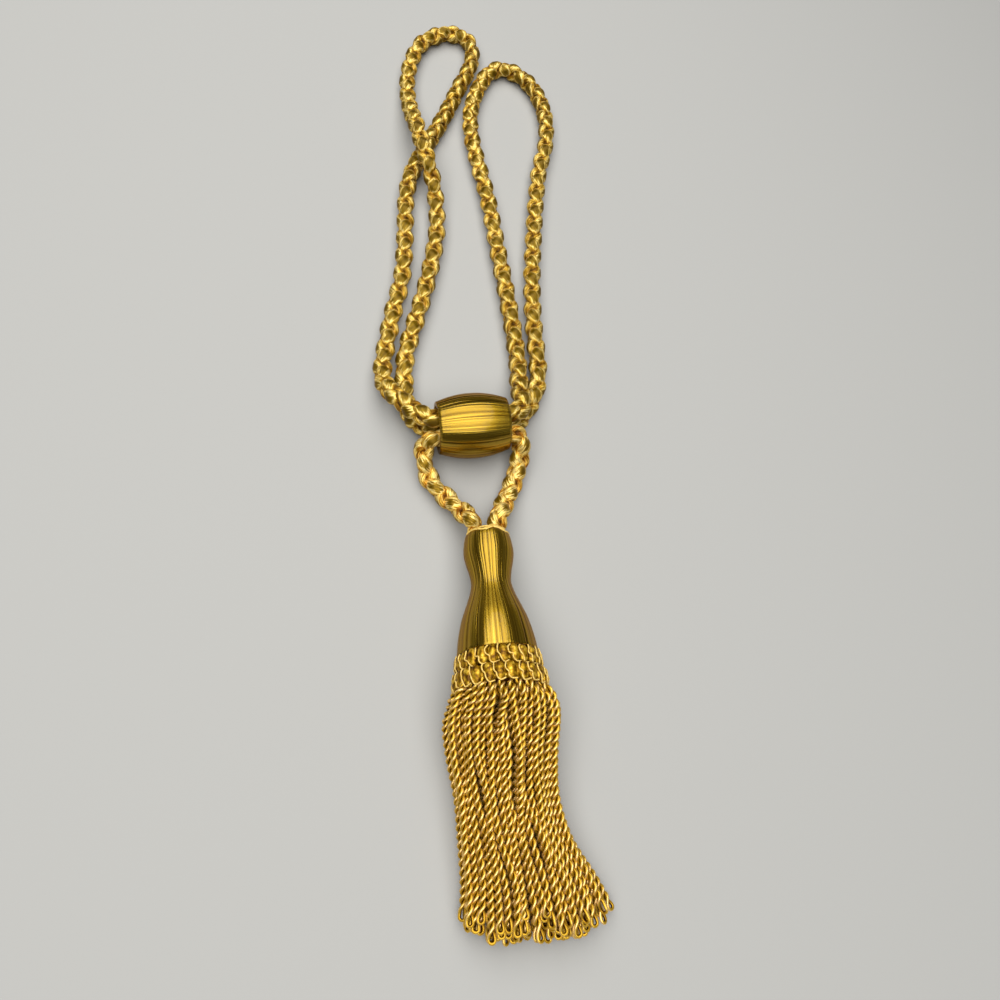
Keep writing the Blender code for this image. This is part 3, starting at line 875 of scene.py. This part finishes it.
gimpPadMaterial, gimpCordMaterial = makeGimpMaterials()
luck = random.Random(collar["seed"])
makeCollarRow("collarUpper", "collar_upper", collar["upperStart"], collar["upperRadius"], 0.0,
              luck)
makeCollarRow("collarLower", "collar_lower", collar["lowerStart"], collar["lowerRadius"], 0.5,
              luck)
print("collar rows are looped")


# binding: thin cord wound round the top edge of the head, over the ends of the short ropes

binding = {
    "seed": 3,
    "turns": 3,
    "start": -0.6,           # down from the head's top
    "rise": 0.7,             # from one turn to the next
    "cordRadius": 0.6,
    "waviness": 2.8,         # height of the cord's bends
    "stops": 13,             # bends in one turn
}


def headRadius(along):
    for (near, nearRadius), (far, farRadius) in zip(head["profile"], head["profile"][1:]):
        if along <= far:
            break
    return nearRadius + (farRadius - nearRadius) * (along - near) / (far - near)


def makeBinding(material):
    luck = random.Random(binding["seed"])
    points = []
    for number in range(binding["stops"] * binding["turns"] + 1):
        turns = number / binding["stops"]
        along = binding["start"] + binding["rise"] * turns
        along += binding["waviness"] * luck.uniform(-0.5, 0.5)
        turn = math.pi * (0.5 + 2 * turns)
        radius = headRadius(max(along, 0)) - binding["cordRadius"] * luck.uniform(0, 1)
        points.append((radius * math.cos(turn), radius * math.sin(turn), along))
    item = thinCord("headBinding", points, binding["cordRadius"])
    placeInMesh(item, tasselPlace())
    finishPiece(item, material, "satin_floss", "tassel_head")


makeBinding(gimpCordMaterial)
print("the head is bound")


# skirt: twisted two-ply bullions with folded ends

bullion = {
    "seed": 21,
    "bandStart": 52.5,       # down from the head's top
    "bandRadius": 14.3,
    "bandInner": 12.0,
    "bandLength": 13.3,
    "bandSides": 64,
    "plyRadius": 0.76,
    "plyOffset": 0.72,       # of a ply from the middle of the strand
    "twistPitch": 6.2,
    "plySides": 10,
    "stepsPerTurn": 9,
    "masterTurns": 14,       # in the one strand that the others are copied from
    "foldSteps": 6,
    "mergeReach": 0.03,
    "pitch": 3.0,            # between strands in the band
    "discLimit": 1.02,
    "restHeight": 1.5,       # of the lowest strands above the floor
    "edgeColumn": 0.2,       # least height of the pile at its sides, as a share
    "pileFall": 0.6,         # how the pile falls to its sides: 0 is a box, 1 an ellipse
    "endUnevenness": 2.6,
    "heldSections": 3,       # the first ones, in the band and the collars
    "routeStep": 2.0,
    "wander": 0.75,
    "leastWander": 0.3,      # share of that for the outermost strands
    "heightWander": 0.6,     # share of that, up and down
    "edgeTuck": 1.4,         # the outermost strands on the left lie in against the others
    "strayReach": 1.6,       # the outermost on the right part from them towards the end
    "edgeShare": 0.15,       # of the half width, that counts as outermost
    "clump": 6.2,            # neighbouring strands draw together by this much and leave gaps
    "clumps": 3.4,           # clumps in half the width
    "clumpSway": 0.3,        # of the gaps to the sides, as a share of a clump
    "swayLength": 23.0,
    "gapLength": 11.0,       # the gaps open and close along the skirt
    "gapShift": 2.4,         # from one gap to the next
    "leastGap": 0.15,
    "eyeLength": 4.0,        # the plies part over this length before the fold
    "eyeWidth": 0.6,
    "eyeThinning": 0.2,
    "eyeTilt": 50.0,         # degrees from lying flat, either way
    "topShortening": 9.0,    # strands on top of the pile end up to this much earlier
    "twistVariation": 1.8,   # turns added to or taken from a strand
    "middleShare": 0.25,     # of the half width, for the middle one of the three pieces
    # y, centre x, half width, middle height, half height, pile height, share of the pile:
    # the strands leave the band as a disc and come to lie as a pile
    "sections": [
    (-22.0, -8.7, 15.4, 19.2, 15.0, 26.0, 0.00),
    (-24.6, -8.5, 17.4, 19.4, 16.4, 27.0, 0.00),
    (-26.2, -8.2, 19.4, 19.3, 17.2, 30.0, 0.05),
    (-28.4, -7.8, 21.2, 19.1, 17.4, 31.0, 0.25),
    (-34.5, -7.9, 22.8, 18.0, 16.4, 29.0, 0.65),
    (-46.5, -7.6, 21.7, 14.0, 12.8, 25.0, 0.92),
    (-61.0, -6.4, 20.2, 11.5, 10.4, 21.5, 1.00),
    (-76.0, -3.8, 21.5, 10.5, 9.4, 19.2, 1.00),
    (-90.0, 0.2, 24.8, 9.5, 8.5, 17.0, 1.00),
    (-103.0, 2.7, 28.2, 8.5, 7.5, 15.0, 1.00),
    ],
    # place across from -1 to 1, y of the folded end
    "ends": [
    (-1.0, -98.6), (-0.9, -103.0), (-0.72, -107.0), (0.0, -107.4), (0.4, -107.6),
    (0.7, -105.0), (1.0, -102.4),
    ],
}


def bullionMaster():
    # two plies wound round each other along +X, folded over at the far end
    dropSelection()
    length = bullion["masterTurns"] * bullion["twistPitch"] * mm
    offset = bullion["plyOffset"] * mm
    plies = []
    for place in (offset, -offset):
        bpy.ops.mesh.primitive_circle_add(vertices=bullion["plySides"],
                                          radius=bullion["plyRadius"] * mm,
                                          location=(place, 0.0, 0.0))
        ply = bpy.context.object
        placeInMesh(ply, ply.matrix_world.copy())
        plies.append(ply)
    master = joinAs("bullionMaster", plies)
    screw = master.modifiers.new("twist", "SCREW")
    screw.angle = 2 * math.pi * bullion["masterTurns"]
    screw.screw_offset = length
    screw.steps = bullion["masterTurns"] * bullion["stepsPerTurn"]
    screw.render_steps = screw.steps
    applyModifiers(master)
    openEye(master, length)
    foldEnd(master, length)
    outwardFaces(master)
    placeInMesh(master, Matrix.Rotation(math.radians(90), 4, "Y"))
    return master


def openEye(master, length):
    # near the fold the plies stop winding and part, which leaves a small eye;
    # the crest of each ply is marked for its painted highlight and the crease for its painted
    # shade
    sides = bullion["plySides"]
    crest = (bullion["plyRadius"] + bullion["plyOffset"]) * mm
    eye = bullion["eyeLength"] * mm
    spots = [vertex.co.copy() for vertex in master.data.vertices]
    paintedLightLifts = []
    for first in range(0, len(spots), sides):
        ring = spots[first:first + sides]
        middle = sum(ring, Vector()) / sides
        axis = Vector((0.0, 0.0, middle.z))
        back = min(eye, length - middle.z)
        near = 1.0 - back / eye
        unwound = 2 * math.pi * (back - back * back / (2 * eye)) / (bullion["twistPitch"] * mm)
        turn = Matrix.Rotation(unwound, 3, "Z")
        for number, spot in enumerate(ring, first):
            paintedLightLifts.append((spot - axis).length / crest)
            moved = (middle - axis) * (1.0 + bullion["eyeWidth"] * near)
            thinned = (spot - middle) * (1.0 - bullion["eyeThinning"] * near)
            master.data.vertices[number].co = axis + turn @ (moved + thinned)
    master.data.attributes.new("lift", "FLOAT", "POINT").data.foreach_set("value", paintedLightLifts)


def foldEnd(master, length):
    # the first ply's end is spun over in a half ring and meets the second ply's end
    last = length - 0.01 * mm
    chooseSpots(master, lambda spot: spot.z > last and spot.x > 0)
    bpy.ops.mesh.spin(steps=bullion["foldSteps"], angle=math.pi, center=(0.0, 0.0, length),
                      axis=(0.0, 1.0, 0.0))
    chooseSpots(master, lambda spot: spot.z > last)
    bpy.ops.mesh.remove_doubles(threshold=bullion["mergeReach"] * mm)
    bpy.ops.mesh.select_all(action="SELECT")
    bpy.ops.mesh.fill_holes(sides=0)
    bpy.ops.object.mode_set(mode="OBJECT")


def strandPlaces():
    # close-packed in the band, across and up from -1 to 1
    step = bullion["pitch"] / bullion["sections"][0][2]
    rows = int(1.0 / (step * math.sqrt(0.75)))
    places = []
    for row in range(-rows, rows + 1):
        height = row * step * math.sqrt(0.75)
        shift = step / 2 if row % 2 else 0.0
        reach = int(1.0 / step) + 1
        for column in range(-reach, reach + 1):
            across = column * step + shift
            if math.hypot(across, height) <= bullion["discLimit"]:
                places.append((across, height))
    return places


def strandPoint(place, section):
    across, height = place
    y, centreX, halfWidth, middle, halfHeight, pile, pileShare = section
    column = math.sqrt(max(bullion["edgeColumn"] ** 2, 1.0 - across * across))
    share = min(1.0, max(0.0, (height / column + 1.0) / 2.0))
    rest = bullion["restHeight"]
    inDisc = middle + halfHeight * height
    inPile = rest + share * (pile - rest) * column ** bullion["pileFall"]
    z = inDisc * (1.0 - pileShare) + inPile * pileShare
    _, down, _, _ = tasselAxes()
    lean = (middle - z) * down.z / down.y * (1.0 - pileShare)
    return Vector((centreX + halfWidth * across, y + lean, z))


def strandEnd(across, luck):
    for (left, leftY), (right, rightY) in zip(bullion["ends"], bullion["ends"][1:]):
        if across <= right:
            break
    share = (across - left) / (right - left)
    return leftY + (rightY - leftY) * share + bullion["endUnevenness"] * luck.uniform(-1, 1)


def bullionRoute(place, luck):
    across, height = place
    inner = 1.0 - across ** 2
    outer = max(0.0, abs(across) - 1.0 + bullion["edgeShare"]) / bullion["edgeShare"]
    points = [strandPoint(place, section) for section in bullion["sections"]]
    points[-1].y = strandEnd(across, luck)
    points[-1].y += max(0.0, height) * luck.random() * bullion["topShortening"]
    held, least = bullion["heldSections"], bullion["leastWander"]
    for number, point in enumerate(points[held:], held):
        point.x += luck.uniform(-1, 1) * bullion["wander"] * (least + (1.0 - least) * inner)
        group = across * bullion["clumps"]
        group += bullion["clumpSway"] * math.sin(point.y / bullion["swayLength"])
        wave = point.y / bullion["gapLength"] + math.floor(group) * bullion["gapShift"]
        opened = max(bullion["leastGap"], math.sin(wave)) ** 2
        point.x -= bullion["clump"] * opened * (group % 1.0 - 0.5) * inner
        if across < 0:
            point.x += bullion["edgeTuck"] * outer
        elif number > len(points) - 3:
            point.x += bullion["strayReach"] * outer
        point.z += luck.uniform(-1, 1) * bullion["wander"] * bullion["heightWander"]
        point.z = max(bullion["restHeight"], point.z)
    return smoothRoute(points, bullion["routeStep"])


def layBullion(master, route, luck):
    # a copy of the straight strand, its eye nearly flat, fitted and bent along its route
    guide = addLine("route", route)
    guide.data.twist_mode = "Z_UP"
    copy = master.copy()
    copy.data = master.data.copy()
    bpy.context.scene.collection.objects.link(copy)
    reach = sum((far - near).length for near, far in zip(route, route[1:]))
    full = bullion["masterTurns"] * bullion["twistPitch"] + bullion["plyRadius"]
    full += bullion["plyOffset"] * (1 + bullion["eyeWidth"])
    wind = 2 * math.pi * bullion["twistVariation"] * luck.uniform(-1, 1)
    tilt = luck.uniform(-bullion["eyeTilt"], bullion["eyeTilt"])
    turn = Matrix.Rotation(math.radians(90 + tilt) - wind, 4, "X")
    placeInMesh(copy, Matrix.Diagonal((reach / full, 1.0, 1.0, 1.0)) @ turn)
    twist = copy.modifiers.new("twist", "SIMPLE_DEFORM")
    twist.deform_method = "TWIST"
    twist.deform_axis = "X"
    twist.angle = wind
    bend = copy.modifiers.new("bend", "CURVE")
    bend.object = guide
    applyModifiers(copy)
    bpy.data.objects.remove(guide, do_unlink=True)
    return copy


def makeBullionMaterial():
    # two-ply twisted rayon yarn: a pale painted highlight runs along the crest of each ply,
    # and the crease between the plies is painted olive-brown as painted shade; the yarn is
    # lighter and darker in patches of about 4 mm
    material, tree, shader = newMaterial("twistedRayonBullion")
    lift = addNode(tree, "ShaderNodeAttribute", {"attribute_name": "lift"})
    where = addNode(tree, "ShaderNodeTexCoord")
    cloud = addNode(tree, "ShaderNodeTexNoise", {"Scale": 260.0, "Detail": 3.0},
                    {"Vector": where.outputs["Object"]})
    sway = addNode(tree, "ShaderNodeMath", {"operation": "MULTIPLY_ADD", 1: 0.2, 2: -0.1},
                   {0: cloud.outputs["Fac"]})
    paintedLightAndPatches = addNode(tree, "ShaderNodeMath", {"operation": "ADD", "use_clamp": True},
                    {0: lift.outputs["Fac"], 1: sway.outputs["Value"]})
    # painted shade in the crease between the plies, a painted highlight along each ply's crest
    color = addRamp(tree, paintedLightAndPatches.outputs["Value"], [
        (0.3, "#341200"), (0.46, "#a07610"), (0.85, "#caa234"), (0.93, "#deb654"),
        (0.985, "#f2c880")])
    tree.links.new(color, shader.inputs["Base Color"])
    setShader(shader, Roughness=0.31, IOR=1.5, Metallic=0.6, Specular_IOR_Level=0.7,
              Specular_Tint=hexColor("#ffd88c"))
    return material


def makeSkirt(material):
    luck = random.Random(bullion["seed"])
    master = bullionMaster()
    middle = bullion["middleShare"]
    thirds = [[], [], []]
    for place in strandPlaces():
        strand = layBullion(master, bullionRoute(place, luck), luck)
        thirds[1 + (place[0] > middle) - (place[0] < -middle)].append(strand)
    bpy.data.objects.remove(master, do_unlink=True)
    for name, strands in zip(("bullionsLeft", "bullionsMiddle", "bullionsRight"), thirds):
        finishPiece(joinAs(name, strands), material, "bullion_fringe", "skirt")
    # the band has no lift, so it takes the ramp's darkest colour, the painted shade of the creases
    inner, outer, length = bullion["bandInner"], bullion["bandRadius"], bullion["bandLength"]
    profile = [(0.0, inner), (0.0, outer), (length, outer), (length, inner)]
    band = turnForm("skirtBand", profile, bullion["bandSides"])
    placeInMesh(band, tasselPlace(bullion["bandStart"]))
    finishPiece(band, material, "bullion_fringe", "skirt")


makeSkirt(makeBullionMaterial())
print("bullions are twisted and gathered")
